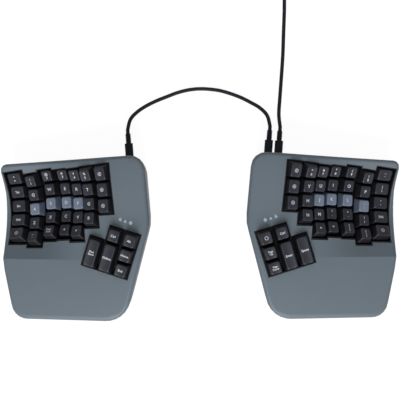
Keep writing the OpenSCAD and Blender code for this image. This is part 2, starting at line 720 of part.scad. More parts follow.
module foot(p) {
    translate([p.x, p.y, 0]) cylinder(h = foot_h + foot_sink - seat, d = foot_d, $fn = 48);
}
module screw(p) {
    translate([p.x, p.y, 0]) difference() {
        union() {
            translate([0, 0, head_z - seat - head_h]) cylinder(h = head_h, d = head_d, $fn = 32);
            translate([0, 0, head_z - seat - slim])
                cylinder(h = boss_z + pilot_l - head_z - 1, d = screw_d - 0.2, $fn = 24);
        }
        translate([0, 0, head_z - seat - head_h - 1]) cylinder(h = 2.4, d = 2.6, $fn = 6);
    }
}

// Tent leg: a foot bar on two posts that slide in the tray's sleeves
module tent_leg() {
    upright_box(leg_x, leg_y, pad_t, leg_w, leg_l, bar_t);
    for (y = post_ys)
        upright_box(leg_x, y, pad_t + bar_t - slim, post_w, post_d, sleeve_z - pad_t - bar_t);
}
module leg_pads() {
    for (y = post_ys) upright_box(leg_x, y, 0, leg_w - 3, 12, pad_t - slim);
}
module tent_button() {
    translate([button_x, button_y, 0]) {
        translate([0, 0, button_z])
            cylinder(h = floor_z + seat - button_z + slim, d = button_d, $fn = 48);
        translate([0, 0, floor_z + seat]) cylinder(h = button_flange_t, d = button_d + 4, $fn = 48);
        translate([0, 0, floor_z + seat]) cylinder(h = bridge_z + 3 - floor_z, d = stem_d, $fn = 32);
    }
}
spring_turns = 4.5;
spring_rings = 14;
spring_wire = 0.9;
spring_low = floor_z + seat + button_flange_t + spring_wire / 2 + seat;
spring_high = bridge_z - spring_wire / 2 - seat;
spring_steps = spring_turns * spring_rings;
spring_path = [for (i = [0:spring_steps]) let(t = i / spring_steps, a = 360 * spring_turns * t)
    [button_x + spring_r * cos(a), button_y + spring_r * sin(a),
        mix(spring_low, spring_high, ramp(t, -0.1, 1.1))]];
module button_spring() {
    tube(spring_path, spring_wire, 6);
}

// Swept tube through a list of points
function along(path, i) = unit(path[min(i + 1, len(path) - 1)] - path[max(i - 1, 0)]);
module tube(path, d, sides) {
    skin([for (i = [0:len(path) - 1]) let(t = along(path, i), s = unit(cross(t, [0, 0, 1])), u = cross(s, t))
        [for (k = [0:sides - 1]) path[i] + d / 2 * (cos(360 * k / sides) * s + sin(360 * k / sides) * u)]]);
}
function curve_point(p, i, t) = let(a = p[max(i - 1, 0)], b = p[i], c = p[i + 1],
        d = p[min(i + 2, len(p) - 1)])
    0.5 * (2 * b + (c - a) * t + (2 * a - 5 * b + 4 * c - d) * t * t + (3 * b - a - 3 * c + d) * t * t * t);
function curve(p, n) = concat([for (i = [0:len(p) - 2]) for (k = [0:n - 1]) curve_point(p, i, k / n)],
    [p[len(p) - 1]]);

// Plugs: a grip with a metal shell in the port and a ribbed strain relief
module plug_grip() {
    rounded_bar(plug_w, plug_t, plug_l);
    translate([0, plug_l - slim, 0]) rotate([-90, 0, 0])
        cylinder(h = relief_l, d1 = relief_d, d2 = cable_d + 1, $fn = 32);
    for (k = [1:4]) translate([0, plug_l + k * relief_l / 5, 0]) rotate([-90, 0, 0])
        cylinder(h = relief_l / 10, d = relief_d + 0.4, $fn = 32);
}
module plug(x) {
    translate([x, port_y + seat, port_z]) {
        plug_grip();
        translate([0, -shell_l, 0]) rounded_bar(slot_w - 0.6, slot_t - 0.6, shell_l + slim);
    }
}
function plug_end(x, more) = [x, port_y + seat + plug_l + relief_l + more, port_z];
function lying(p) = [p.x, p.y, cable_d / 2 + p.z];

// Bridge cable: plan points with the height of the cable above the desk
bridge_points = [[-88.5, 151.5, 13.5], [-79.5, 162, 10], [-68, 170.5, 5.5], [-55, 177.5, 2], [-42, 183, 0],
    [-28.5, 188, 0], [-14.5, 191.5, 0], [-0.5, 193, 0], [13.5, 192.5, 0], [27.5, 190.5, 0], [41.5, 186.5, 0],
    [55, 181, 2], [67.5, 174, 5.5], [79.5, 166, 10], [88.5, 155.5, 13.5]];
bridge_route = concat([left_point(plug_end(port_x[0], cable_d))], [for (p = bridge_points) lying(p)],
    [right_point(plug_end(port_x[0], cable_d))]);
bridge_path = concat([left_point(plug_end(port_x[0], slim))], curve(bridge_route, 2),
    [right_point(plug_end(port_x[0], slim))]);

// Host cable: straight to the back, then wound up in a flat coil of two layers
usb_points = [[104, 158, 8], [106, 181, 2], [108, 206, 0], [110, 236, 0], [111, 266, 0], [112, 296, 0],
    [112, 325, 0]];
coil_mid = [74, 365];
coil_step = cable_d + 0.55;
coil_turns = 3.5;
coil_out = 38;
coil_rings = 24;
coil_z = cable_d / 2 + 1;
function coil_radius(t) = coil_out - coil_step * (t < coil_turns ? t : 2 * coil_turns - t);
function coil_point(t) = let(r = coil_radius(t)) [
    coil_mid.x + r * cos(360 * t),
    coil_mid.y + r * sin(360 * t),
    coil_z + coil_step * ramp(t, coil_turns - 0.25, coil_turns + 0.25)];
coil_edge = [coil_mid.x + coil_out, coil_mid.y, 0];
coil_start = coil_edge + [0, -2 * cable_d, coil_z];
coil_tail = [
    coil_edge + [0, 14, coil_z + coil_step - 0.4],
    coil_edge + [1, 30, coil_z + 3],
    coil_edge + [2, 46, a_plug_t / 2 + 1],
    coil_edge + [2, 58, a_plug_t / 2],
    coil_edge + [2, 58 + cable_d, a_plug_t / 2]];
coil_path = concat([coil_start, coil_start + [0, cable_d, 0]],
    [for (k = [0:2 * coil_turns * coil_rings]) coil_point(k / coil_rings)], coil_tail);
usb_route = concat([right_point(plug_end(port_x[1], cable_d))], [for (p = usb_points) lying(p)],
    [coil_start - [0, cable_d + slim, 0]]);
usb_path = concat([right_point(plug_end(port_x[1], slim))], curve(usb_route, 3), [coil_start - [0, slim, 0]]);
function step_lengths(p) = [for (i = [1:len(p) - 1]) norm(p[i] - p[i - 1])];
function path_length(p) = step_lengths(p) * [for (i = [1:len(p) - 1]) 1];
echo(bridge_cable_length = path_length(bridge_path));
echo(host_cable_length = path_length(usb_path) + path_length(coil_path));
wound = [for (k = [0:2 * coil_turns * coil_rings]) coil_point(k / coil_rings)];
wound_gaps = [for (i = [0:len(wound) - 1]) for (j = [i + coil_rings / 2:1:len(wound) - 1])
    norm(wound[i] - wound[j]) - cable_d];
echo(coil_self_gap = min(wound_gaps));
module a_plug() {
    translate(coil_path[len(coil_path) - 1] + [0, slim, 0]) {
        upright_box(0, a_plug_l / 2, -a_plug_t / 2, a_plug_w, a_plug_l, a_plug_t);
        difference() {
            upright_box(0, a_plug_l + 6.5, -2.25, 12, 13, 4.5);
            upright_box(0, a_plug_l + 8, -1.75, 11, 14, 3.5);
        }
        upright_box(0, a_plug_l + 5.5, -1.5, 10.4, 11, 1.6);
    }
}
module tie_band() {
    inner = coil_radius(coil_turns) - cable_d / 2 - 0.6;
    outer = coil_out + cable_d / 2 + 0.6;
    high = coil_z + coil_step + cable_d / 2 + 0.4;
    translate([coil_mid.x, coil_mid.y, 0]) rotate(tie_turn)
        translate([(inner + outer) / 2, 0, 0]) difference() {
            upright_box(0, 0, 0, outer - inner + 2, 10, high + 1);
            upright_box(0, 0, 0.8, outer - inner, 12, high - 0.8);
        }
}

module left_top_case() { color(slate) left_half() top_case([port_x[0]]); }
module right_top_case() { color(slate) right_half() top_case(port_x); }
module left_bottom_case() { color(slate) left_half() bottom_case(); }
module right_bottom_case() { color(slate) right_half() bottom_case(); }
module left_key_well() { color(black_plastic) left_half() key_well(); }
module right_key_well() { color(black_plastic) right_half() key_well(); }
module left_thumb_well() { color(black_plastic) left_half() thumb_well(); }
module right_thumb_well() { color(black_plastic) right_half() thumb_well(); }
module left_number_row_keys() { color(cap_black) left_half() row_keys([0:5], 0); }
module right_number_row_keys() { color(cap_black) right_half() row_keys([0:5], 0); }
module left_upper_row_keys() { color(cap_black) left_half() row_keys([0:5], 1); }
module right_upper_row_keys() { color(cap_black) right_half() row_keys([0:5], 1); }
module left_home_keys() { color(cap_blue) left_half() row_keys([1:4], 2); }
module right_home_keys() { color(cap_blue) right_half() row_keys([1:4], 2); }
module left_home_end_keys() { color(cap_black) left_half() row_keys([0, 5], 2); }
module right_home_end_keys() { color(cap_black) right_half() row_keys([0, 5], 2); }
module left_lower_row_keys() { color(cap_black) left_half() row_keys([0:5], 3); }
module right_lower_row_keys() { color(cap_black) right_half() row_keys([0:5], 3); }
module left_bottom_row_keys() { color(cap_black) left_half() row_keys([0:4], 4); }
module right_bottom_row_keys() { color(cap_black) right_half() row_keys([0:4], 4); }
module left_inner_key_1() { color(cap_black) left_half() inner_key(0); }
module right_inner_key_1() { color(cap_black) right_half() inner_key(0); }
module left_inner_key_2() { color(cap_black) left_half() inner_key(1); }
module right_inner_key_2() { color(cap_black) right_half() inner_key(1); }
module left_inner_key_3() { color(cap_black) left_half() inner_key(2); }
module right_inner_key_3() { color(cap_black) right_half() inner_key(2); }
module left_thumb_key_1() { color(cap_black) left_half() thumb_key(1); }
module right_thumb_key_1() { color(cap_black) right_half() thumb_key(1); }
module left_thumb_key_2() { color(cap_black) left_half() thumb_key(2); }
module right_thumb_key_2() { color(cap_black) right_half() thumb_key(2); }
module left_thumb_key_3() { color(cap_black) left_half() thumb_key(3); }
module right_thumb_key_3() { color(cap_black) right_half() thumb_key(3); }
module left_thumb_key_4() { color(cap_black) left_half() thumb_key(4); }
module right_thumb_key_4() { color(cap_black) right_half() thumb_key(4); }
module left_thumb_key_5() { color(cap_black) left_half() thumb_key(5); }
module right_thumb_key_5() { color(cap_black) right_half() thumb_key(5); }
module left_thumb_key_6() { color(cap_black) left_half() thumb_key(6); }
module right_thumb_key_6() { color(cap_black) right_half() thumb_key(6); }
module switch_housings() { color(black_plastic) both_halves() at_every_switch() switch_housing(); }
module switch_circuits() {
    color(board_green) both_halves() {
        for (c = [0:inner_col]) column_circuit(c);
        thumb_board();
    }
}
module main_boards() { color(board_green) both_halves() main_board(); }
module usb_sockets() {
    color(steel) {
        left_half() socket(port_x[0]);
        right_half() for (x = port_x) socket(x);
    }
}
module light_pipes() { color(lamp_white) both_halves() for (p = lamp_spots) light_pipe(p); }
module rubber_feet() { color(rubber) both_halves() for (p = foot_spots) foot(p); }
module case_screws() { color(steel) both_halves() for (p = screw_spots) screw(p); }
module left_tent_leg() { color(black_plastic) left_half() tent_leg(); }
module right_tent_leg() { color(black_plastic) right_half() tent_leg(); }
module left_leg_pads() { color(rubber) left_half() leg_pads(); }
module right_leg_pads() { color(rubber) right_half() leg_pads(); }
module left_tent_button() { color(black_plastic) left_half() tent_button(); }
module right_tent_button() { color(black_plastic) right_half() tent_button(); }
module left_button_spring() { color(steel) left_half() button_spring(); }
module right_button_spring() { color(steel) right_half() button_spring(); }
module bridge_cable() { color(rubber) tube(bridge_path, cable_d, 10); }
module bridge_plugs() { color(rubber) both_halves() plug(port_x[0]); }
module usb_cable() { color(rubber) tube(usb_path, cable_d, 10); }
module usb_coil() { color(rubber) tube(coil_path, cable_d, 6); }
module usb_c_plug() { color(rubber) right_half() plug(port_x[1]); }
module usb_a_plug() { color(rubber) a_plug(); }
module coil_tie() { color(black_plastic) tie_band(); }

left_top_case();
right_top_case();
left_bottom_case();
right_bottom_case();
left_key_well();
right_key_well();
left_thumb_well();
right_thumb_well();
left_number_row_keys();
right_number_row_keys();
left_upper_row_keys();
right_upper_row_keys();
left_home_keys();
right_home_keys();
left_home_end_keys();
right_home_end_keys();
left_lower_row_keys();
right_lower_row_keys();
left_bottom_row_keys();
right_bottom_row_keys();
left_inner_key_1();
right_inner_key_1();
left_inner_key_2();
right_inner_key_2();
left_inner_key_3();
right_inner_key_3();
left_thumb_key_1();
right_thumb_key_1();
left_thumb_key_2();
right_thumb_key_2();
left_thumb_key_3();
right_thumb_key_3();
left_thumb_key_4();
right_thumb_key_4();
left_thumb_key_5();
right_thumb_key_5();
left_thumb_key_6();
right_thumb_key_6();
switch_housings();
switch_circuits();
main_boards();
usb_sockets();
light_pipes();
rubber_feet();
case_screws();
left_tent_leg();
right_tent_leg();
left_leg_pads();
right_leg_pads();
left_tent_button();
right_tent_button();
left_button_spring();
right_button_spring();
bridge_cable();
bridge_plugs();
usb_cable();
usb_coil();
usb_c_plug();
usb_a_plug();
coil_tie();
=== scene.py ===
"""Looks of the split contoured keyboard: finishes, rounded caps with legends, cords, stage and camera."""
import json
import math

import bpy
import numpy as np
from mathutils import Matrix, Vector


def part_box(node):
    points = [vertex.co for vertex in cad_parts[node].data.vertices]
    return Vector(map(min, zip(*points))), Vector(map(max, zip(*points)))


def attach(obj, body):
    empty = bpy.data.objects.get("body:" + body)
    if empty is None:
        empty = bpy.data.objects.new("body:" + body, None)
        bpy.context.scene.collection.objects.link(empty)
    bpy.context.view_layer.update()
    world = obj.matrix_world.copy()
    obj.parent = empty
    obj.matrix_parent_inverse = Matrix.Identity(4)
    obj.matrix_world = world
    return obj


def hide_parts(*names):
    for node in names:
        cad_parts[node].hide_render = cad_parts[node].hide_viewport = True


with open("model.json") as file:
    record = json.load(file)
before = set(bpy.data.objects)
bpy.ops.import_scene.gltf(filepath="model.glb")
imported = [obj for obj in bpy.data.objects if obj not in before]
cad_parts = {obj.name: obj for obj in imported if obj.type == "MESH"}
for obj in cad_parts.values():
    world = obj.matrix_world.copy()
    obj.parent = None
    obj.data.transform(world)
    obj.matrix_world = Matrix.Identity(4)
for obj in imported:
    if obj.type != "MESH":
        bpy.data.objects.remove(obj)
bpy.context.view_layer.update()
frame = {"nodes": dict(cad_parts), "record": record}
scene = bpy.context.scene

MM = 0.001
SIDES = ("left", "right")
FLIP = {"left": 1, "right": -1}

# Sizes that the looks share with the solids, in millimetres and degrees
HALF_YAW = 4.3
KEY_PITCH = 19.05
CAP_GAP = 0.95
CAP_1U = KEY_PITCH - CAP_GAP
WIDE = 1.25
DEEP = 1.1
COLUMN_RADIUS = 100
INNER_RADIUS = 150
ROW_ROOM = 1.9
HOME_TILT = -3.5
INNER_ROOM = 1
INNER_TILT = -3.5
TENT_ANGLE = 18
WELL_HEIGHT = 17
COLUMN_LIFT = (17, 14, 6, 0, 3.4, 10, 10)
COLUMN_REACH = (0, -5.4, 0.3, 0, -2.3, -4.3, -5)
OUTER_COL = 0
MIDDLE_COL = 3
INNER_COL = 6
BACK_ROW = 0
HOME_ROW = 2
INNER_MID_ROW = 1
INNER_STEP = 0.65
THUMB_PITCH = 20.4
THUMB_SPOT = (52, -68, 47)
THUMB_YAW = -21.5
THUMB_ROLL = 4
THUMB_TILT = 5
THUMB_KEYS = ((-1, -0.5, 2), (0, -0.5, 2), (0, 1, 1), (1, 1, 1), (1, 0, 1), (1, -1, 1))
CAP_LIFT = 6.2
CAP_HEIGHT = 10
CAP_TOP_W = 13.2
CAP_TOP_D = 14
CAP_WALL = 1.3
DISH_DEPTH = 0.7
BUTTON_SPOT = (46, -20)
BRIDGE_PORT_X = 78.5
HOST_PORT_X = 65.5
PORT_Z = 18
CABLE_D = 4.8


def turned(axis, degrees):
    return Matrix.Rotation(math.radians(degrees), 4, axis)


def shifted(x, y, z):
    return Matrix.Translation((x, y, z))


# Places: a half's frame from the middle of its release button, a key's frame from its column and row
def half_place(side):
    low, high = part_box(side + "_tent_button")
    middle = (Vector(low) + Vector(high)) / 2 / MM
    spin = Matrix.Diagonal((FLIP[side], 1, 1, 1)) @ turned("Z", HALF_YAW)
    spot = spin @ Vector((*BUTTON_SPOT, 0))
    return shifted(middle.x - spot.x, middle.y - spot.y, 0) @ spin


HALF = {side: half_place(side) for side in SIDES}


def column_x(c):
    wide_shift = (WIDE - 1) / 2 * KEY_PITCH if c == OUTER_COL else 0
    return (c - MIDDLE_COL) * KEY_PITCH - wide_shift + (INNER_STEP if c == INNER_COL else 0)


def row_tilt(c, r):
    if c == INNER_COL:
        return INNER_TILT + (HOME_ROW - r) * math.degrees((DEEP * KEY_PITCH + INNER_ROOM) / INNER_RADIUS)
    return HOME_TILT + (HOME_ROW - r) * math.degrees((KEY_PITCH + ROW_ROOM) / COLUMN_RADIUS)


def key_place(c, r):
    column = shifted(column_x(c), COLUMN_REACH[c], COLUMN_LIFT[c])
    radius = INNER_RADIUS if c == INNER_COL else COLUMN_RADIUS
    swing = shifted(0, 0, radius) @ turned("X", row_tilt(c, r)) @ shifted(0, 0, -radius)
    return shifted(0, 0, WELL_HEIGHT) @ turned("Y", -TENT_ANGLE) @ column @ swing


def key_size(c):
    w = KEY_PITCH * (WIDE if c == OUTER_COL else 1) - CAP_GAP
    d = KEY_PITCH * (DEEP if c == INNER_COL else 1) - CAP_GAP
    return w, d


def thumb_place(i):
    across, along, _ = THUMB_KEYS[i]
    spin = turned("Z", THUMB_YAW) @ turned("X", THUMB_TILT) @ turned("Y", -THUMB_ROLL)
    return shifted(*THUMB_SPOT) @ spin @ shifted(across * THUMB_PITCH, along * KEY_PITCH, 0)


def thumb_size(i):
    return CAP_1U, KEY_PITCH * THUMB_KEYS[i][2] - CAP_GAP


# Camera: above the desk and a little to the right of the middle, as the photograph was taken
CAMERA_HEIGHT = 800
VIEW_W = 528
CAMERA_X = 22
AIM_X = 1.3
CAMERA_Y_FROM_HOME = -4.5
SENSOR = 36
CLIP_END_M = 20
home_y = (HALF["left"].translation.y + HALF["right"].translation.y) / 2
camera_data = bpy.data.cameras.new("camera")
camera_data.sensor_width = SENSOR
camera_data.lens = SENSOR * CAMERA_HEIGHT / VIEW_W
camera_data.clip_end = CLIP_END_M
camera = bpy.data.objects.new("camera", camera_data)
camera.location = Vector((CAMERA_X, home_y + CAMERA_Y_FROM_HOME, CAMERA_HEIGHT)) * MM
camera.rotation_euler = (0, math.atan((CAMERA_X - AIM_X) / CAMERA_HEIGHT), 0)
scene.collection.objects.link(camera)
scene.camera = camera


# Materials: moulded finishes with grain and faint clouds, in millimetres, and plain metal
GRAIN_DETAIL = 3
GRAIN_DEPTH = 0.05
CLOUD_SIZE = 40
CLOUD_DETAIL = 2


def plastic(name, colour, roughness, grain_size, grain, shade=0.06, specular=0.4):
    """A moulded finish: fine grain in the surface and a faint unevenness of tone."""
    material = bpy.data.materials.new(name)
    material.use_nodes = True
    tree = material.node_tree
    shader = tree.nodes["Principled BSDF"]
    shader.inputs["Roughness"].default_value = roughness
    shader.inputs["Specular IOR Level"].default_value = specular
    place = tree.nodes.new("ShaderNodeTexCoord")
    grains = tree.nodes.new("ShaderNodeTexNoise")
    grains.inputs["Scale"].default_value = 1 / (grain_size * MM)
    grains.inputs["Detail"].default_value = GRAIN_DETAIL
    bump = tree.nodes.new("ShaderNodeBump")
    bump.inputs["Strength"].default_value = grain
    bump.inputs["Distance"].default_value = GRAIN_DEPTH * MM
    clouds = tree.nodes.new("ShaderNodeTexNoise")
    clouds.inputs["Scale"].default_value = 1 / (CLOUD_SIZE * MM)
    clouds.inputs["Detail"].default_value = CLOUD_DETAIL
    tone = tree.nodes.new("ShaderNodeValToRGB")
    tone.color_ramp.elements[0].color = (*[c * (1 - shade) for c in colour], 1)
    tone.color_ramp.elements[1].color = (*[c * (1 + shade) for c in colour], 1)
    tree.links.new(place.outputs["Object"], grains.inputs["Vector"])
    tree.links.new(place.outputs["Object"], clouds.inputs["Vector"])
    tree.links.new(grains.outputs["Fac"], bump.inputs["Height"])
    tree.links.new(bump.outputs["Normal"], shader.inputs["Normal"])
    tree.links.new(clouds.outputs["Fac"], tone.inputs["Fac"])
    tree.links.new(tone.outputs["Color"], shader.inputs["Base Color"])
    return material


def metal(name, colour, roughness):
    material = bpy.data.materials.new(name)
    material.use_nodes = True
    shader = material.node_tree.nodes["Principled BSDF"]
    shader.inputs["Base Color"].default_value = (*colour, 1)
    shader.inputs["Metallic"].default_value = 1
    shader.inputs["Roughness"].default_value = roughness
    return material


# A plastic's numbers: colour, roughness, size of the grain, strength of the grain
FINISH = {
    "case_slate": plastic("case_slate", (0.115, 0.145, 0.172), 0.5, 0.5, 0.35, shade=0.04),
    "cap_black": plastic("cap_black", (0.025, 0.0265, 0.037), 0.42, 0.35, 0.3),
    "cap_blue": plastic("cap_blue", (0.16, 0.195, 0.262), 0.45, 0.35, 0.3),
    "black_trim": plastic("black_trim", (0.004, 0.004, 0.006), 0.5, 0.4, 0.2),
    "circuit_green": plastic("circuit_green", (0.02, 0.10, 0.04), 0.35, 0.6, 0.1),
    "bright_steel": metal("bright_steel", (0.6, 0.61, 0.63), 0.3),
    "lamp_white": plastic("lamp_white", (0.4, 0.46, 0.54), 0.4, 0.5, 0.05),
    "black_rubber": plastic("black_rubber", (0.009, 0.011, 0.017), 0.6, 0.6, 0.4, specular=0.22),
}
LEGEND = plastic("legend_white", (0.63, 0.645, 0.68), 0.5, 0.5, 0.0, shade=0.01)
# Cap sides: darker copies of the cap finishes, painted shade for the sides that lie in shadow between the
# caps
PAINTED_SHADE_SKIRT = {
    "cap_black": plastic("skirt_black_painted_shade", (0.007, 0.007, 0.010), 0.5, 0.5, 0.3, specular=0.25),
    "cap_blue": plastic("skirt_blue_painted_shade", (0.075, 0.093, 0.135), 0.5, 0.5, 0.3, specular=0.25),
}
SLOT = {part["node"]: part["material_slot"] for part in frame["record"]["subparts"]}

for node, slot in SLOT.items():
    mesh = frame["nodes"][node].data
    mesh.materials.clear()
    mesh.materials.append(FINISH[slot])


def new_piece(name, data, body, *nodes):
    """A piece that stands for CAD nodes, which it hides, and rides on their body."""
    made = bpy.data.objects.new(name, data)
    scene.collection.objects.link(made)
    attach(made, body)
    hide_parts(*nodes)
    return made


# Cords: the solids' own routes, drawn round; the tail's points are counted from the edge of the coil
BRIDGE_POINTS = ((-88.5, 151.5, 13.5), (-79.5, 162, 10), (-68, 170.5, 5.5), (-55, 177.5, 2), (-42, 183, 0),
                 (-28.5, 188, 0), (-14.5, 191.5, 0), (-0.5, 193, 0), (13.5, 192.5, 0), (27.5, 190.5, 0),
                 (41.5, 186.5, 0), (55, 181, 2), (67.5, 174, 5.5), (79.5, 166, 10), (88.5, 155.5, 13.5))
USB_POINTS = ((104, 158, 8), (106, 181, 2), (108, 206, 0), (110, 236, 0), (111, 266, 0), (112, 296, 0),
              (112, 325, 0))
COIL_MID = Vector((74, 365, 0))
COIL_GAP = 0.55
COIL_STEP = CABLE_D + COIL_GAP
COIL_TURNS = 3.5
COIL_CLIMB_TURNS = 0.5
COIL_OUT = 38
COIL_RINGS = 48
COIL_LIFT = 1
COIL_Z = CABLE_D / 2 + COIL_LIFT
A_PLUG_Z = 4
TAIL_POINTS = ((0, 14, COIL_Z + COIL_STEP - 0.4), (1, 30, COIL_Z + 3), (2, 46, A_PLUG_Z + 1),
               (2, 58, A_PLUG_Z), (2, 58 + CABLE_D, A_PLUG_Z))
ROUTE_STEPS = 6
CORD_ROUNDNESS = 6


def curve_point(p, i, t):
    """A point of the smooth curve through the points p, a share t of the way from point i to the next."""
    a, b = p[max(i - 1, 0)], p[i]
    c, d = p[i + 1], p[min(i + 2, len(p) - 1)]
    square = 2 * a - 5 * b + 4 * c - d
    cube = 3 * b - a - 3 * c + d
    return 0.5 * (2 * b + (c - a) * t + square * t ** 2 + cube * t ** 3)


def smooth_route(p):
    spans = range(len(p) - 1)
    return [curve_point(p, i, k / ROUTE_STEPS) for i in spans for k in range(ROUTE_STEPS)] + [p[-1]]


def ramp(x, a, b):
    """A smooth rise from 0 at a to 1 at b."""
    t = np.clip((x - a) / (b - a), 0, 1)
    return t * t * (3 - 2 * t)


def lying(points):
    """Middles of a cord whose underside follows the points."""
    return [Vector((x, y, z + CABLE_D / 2)) for x, y, z in points]


to_right_half = HALF["right"].inverted()
plug_spots = [to_right_half @ (v.co / MM) for v in frame["nodes"]["usb_c_plug"].data.vertices]
plug_back = max(spot.y for spot in plug_spots)


def plug_mouth(side, x, out=0):
    return HALF[side] @ Vector((x, plug_back + out, PORT_Z))


def coil_point(t):
    r = COIL_OUT - COIL_STEP * (t if t < COIL_TURNS else 2 * COIL_TURNS - t)
    half_climb = COIL_CLIMB_TURNS / 2
    rise = COIL_STEP * float(ramp(t, COIL_TURNS - half_climb, COIL_TURNS + half_climb))
    return COIL_MID + Vector((r * math.cos(math.tau * t), r * math.sin(math.tau * t), COIL_Z + rise))


def cord_piece(name, route, *nodes):
    data = bpy.data.curves.new(name, "CURVE")
    data.dimensions = "3D"
    data.bevel_depth = CABLE_D / 2 * MM
    data.bevel_resolution = CORD_ROUNDNESS
    data.use_fill_caps = True
    line = data.splines.new("POLY")
    line.points.add(len(route) - 1)
    for point, spot in zip(line.points, route):
        point.co = (*(spot * MM), 1)
    line.use_smooth = True
    data.materials.append(FINISH["black_rubber"])
    return new_piece(name, data, "frame", *nodes)


bridge_start, bridge_end = [plug_mouth(side, BRIDGE_PORT_X) for side in SIDES]
bridge_out, bridge_in = [plug_mouth(side, BRIDGE_PORT_X, CABLE_D) for side in SIDES]
bridge_route = [bridge_start, *smooth_route([bridge_out, *lying(BRIDGE_POINTS), bridge_in]), bridge_end]
bridge = cord_piece("bridge_cord", bridge_route, "bridge_cable")

coil_edge = COIL_MID + Vector((COIL_OUT, 0, 0))
coil_start = coil_edge + Vector((0, -2 * CABLE_D, COIL_Z))
coil_tail = smooth_route([coil_point(2 * COIL_TURNS), *[coil_edge + Vector(p) for p in TAIL_POINTS]])
straight = Vector((0, CABLE_D, 0))
host_start = plug_mouth("right", HOST_PORT_X)
host_out = plug_mouth("right", HOST_PORT_X, CABLE_D)
host_route = [host_start, *smooth_route([host_out, *lying(USB_POINTS), coil_start - straight])]
host_route += [coil_start, coil_start + straight]
host_route += [coil_point(k / COIL_RINGS) for k in range(int(2 * COIL_TURNS * COIL_RINGS))] + coil_tail
host = cord_piece("host_cord", host_route, "usb_cable", "usb_coil")


# Keycaps: a hollow cap with round corners, a soft top edge and a finger dish
CORNER_STEPS = 4
EDGE_STEPS = 4
SKIRT_R = 1.2
HOLLOW_R = 0.8
TOP_R = 2.4
TOP_EDGE = 1.0
TOP_EDGE_RINGS = 3
EDGE_DISH = 0.6
TOP_SHARES = (0.86, 0.68, 0.45, 0.2)
SKIRT_RINGS = 4
LEAN_W = CAP_1U - CAP_TOP_W
LEAN_D = CAP_1U - CAP_TOP_D
CEILING = CAP_HEIGHT - DISH_DEPTH - CAP_WALL


def rounded_plan(w, d, r):
    """Plan points of a rounded rectangle, counter-clockwise from its right-hand side."""
    arcs = []
    for quarter, (sx, sy) in enumerate(((1, 1), (-1, 1), (-1, -1), (1, -1))):
        angles = [math.radians(90 * (quarter + k / CORNER_STEPS)) for k in range(CORNER_STEPS + 1)]
        arcs.append([Vector((sx * (w / 2 - r) + r * math.cos(a), sy * (d / 2 - r) + r * math.sin(a)))
                     for a in angles])
    plan = []
    for arc, following in zip(arcs, arcs[1:] + arcs[:1]):
        plan += arc
        plan += [arc[-1].lerp(following[0], k / EDGE_STEPS) for k in range(1, EDGE_STEPS)]
    return plan


def dish(x, w):
    """Height of the dished top of a cap w wide, from its rim."""
    share = min(1, abs(x) / ((w - LEAN_W) / 2 - TOP_EDGE))
    return DISH_DEPTH * (share ** 2 - 1)


def cap_rings(w, d):
    """Loops of points up the inside of the skirt, round its edge, up the outside and in over the top."""
    def lean(z):
        return z / CAP_HEIGHT

    def loop(inset, z, r, dished=0.0):
        plan = rounded_plan(w - LEAN_W * lean(z) - 2 * inset, d - LEAN_D * lean(z) - 2 * inset, r)
        return [Vector((p.x, p.y, CAP_LIFT + z + dished * dish(p.x, w))) for p in plan]

    rings = [loop(CAP_WALL, CEILING, HOLLOW_R), loop(CAP_WALL, 0, HOLLOW_R), loop(0, 0, SKIRT_R),
             loop(0, (CAP_HEIGHT - TOP_EDGE) / 2, (SKIRT_R + TOP_R) / 2),
             loop(0, CAP_HEIGHT - TOP_EDGE, TOP_R, EDGE_DISH)]
    for k in range(1, TOP_EDGE_RINGS + 1):
        a = math.radians(90 * k / TOP_EDGE_RINGS)
        inset, fall = TOP_EDGE * (1 - math.cos(a)), TOP_EDGE * (1 - math.sin(a))
        rings.append(loop(inset, CAP_HEIGHT - fall, TOP_R, 1.0))
    rim = rings[-1]
    for share in TOP_SHARES:
        rings.append([Vector((p.x * share, p.y * share, CAP_LIFT + CAP_HEIGHT + dish(p.x * share, w)))
                      for p in rim])
    return rings


def cap_shape(w, d):
    """(points, faces, count of skirt faces) of a cap in the frame of its key."""
    rings = cap_rings(w, d)
    n = len(rings[0])
    points = [p for ring in rings for p in ring]
    points += [Vector((0, 0, CAP_LIFT + CEILING)), Vector((0, 0, CAP_LIFT + CAP_HEIGHT - DISH_DEPTH))]
    under, over = len(points) - 2, len(points) - 1
    last = (len(rings) - 1) * n
    faces = [(under, (i + 1) % n, i) for i in range(n)]
    for low in range(0, last, n):
        high = low + n
        faces += [(low + i, low + (i + 1) % n, high + (i + 1) % n, high + i) for i in range(n)]
    faces += [(last + i, last + (i + 1) % n, over) for i in range(n)]
    return points, faces, (SKIRT_RINGS + 1) * n


# Legends: letters from the built-in font and plain shapes, laid on the dish
LETTER = 5.4
SIGN = 4.3
WORD = 4.0
SMALL_WORD = 3.3
SIGN_LINE = 1.15
WORD_LINE = 0.95
BOLDNESS = 0.018
INK = 0.06
RING_STEPS = 28
ICON_R = 2.3
ICON_HOLE_R = 1.75
ICON_STROKE = 0.6
ICON_BAR = 2.6
ICON_SLASH = 3.6
DOT_R = 0.8
DOT_HOLE_R = 0.01
ARROW = ((1.6, 0), (-1.0, 1.5), (-1.0, -1.5))
words = {}


